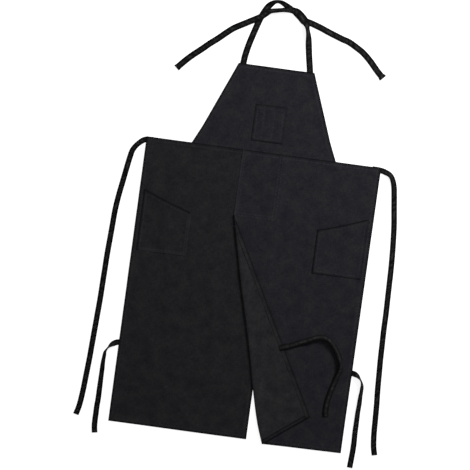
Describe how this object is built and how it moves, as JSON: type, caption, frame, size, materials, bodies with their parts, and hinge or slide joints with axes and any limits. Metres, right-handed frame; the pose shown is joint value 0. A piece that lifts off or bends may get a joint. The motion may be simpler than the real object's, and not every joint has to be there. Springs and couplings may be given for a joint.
{
  "type": "artist smock apron",
  "caption": "Bib apron in black twill laid flat, with a split skirt whose legs overlap at the waist, patch pockets, neck straps, waist ties and leg ties; one leg's inner corner turned back.",
  "frame": {"origin": "middle of the box of the apron's cloth, without its free straps and ties, at the surface that it lies on", "axes": "+Y from the hem to the bib's top, +X to the right as seen from the front, +Z out of the front of the cloth"},
  "size_m": [0.932, 1.3814, 0.0095],
  "materials": {
    "twill": "matte black cotton twill, right side",
    "twill_back": "matte black cotton twill, wrong side and turned hems",
    "tape": "folded and edge-stitched black twill tape"
  },
  "bodies": {
    "skirt": {"left_skirt_panel": "twill", "left_side_hem": "twill_back", "left_waist_hem": "twill_back", "left_bottom_hem": "twill_back", "left_split_hem": "twill_back", "left_side_pocket": "twill", "left_side_pocket_hem": "twill_back", "right_skirt_panel": "twill", "right_side_hem": "twill_back", "right_waist_hem": "twill_back", "right_bottom_hem": "twill_back", "right_overlap_hem": "twill_back", "right_side_pocket": "twill", "right_side_pocket_hem": "twill_back", "waist_tie_left": "tape", "waist_tie_right": "tape", "leg_tie_left": "tape", "leg_tie_right": "tape"},
    "bib": {"bib_panel": "twill", "bib_left_hem": "twill_back", "bib_right_hem": "twill_back", "bib_top_hem": "twill_back", "waist_seam_allowance": "twill_back", "chest_pocket": "twill", "chest_pocket_hem": "twill_back", "neck_strap_left": "tape", "neck_strap_right": "tape"},
    "turned_corner": {"turned_corner": "twill_back", "turned_corner_split_hem": "twill_back", "turned_corner_bottom_hem": "twill_back", "leg_tie_inner": "tape"}
  },
  "joints": [
    {"name": "bib_fold", "type": "hinge", "parent": "skirt", "child": "bib", "pos_m": [0, 0.306, 0.0044], "axis": [1, 0, 0], "range_deg": [0, 170]},
    {"name": "corner_unfold", "type": "hinge", "parent": "skirt", "child": "turned_corner", "pos_m": [-0.064, 0.104, 0.0063], "axis": [0.2449, -0.9695, 0], "range_deg": [0, 165]}
  ]
}
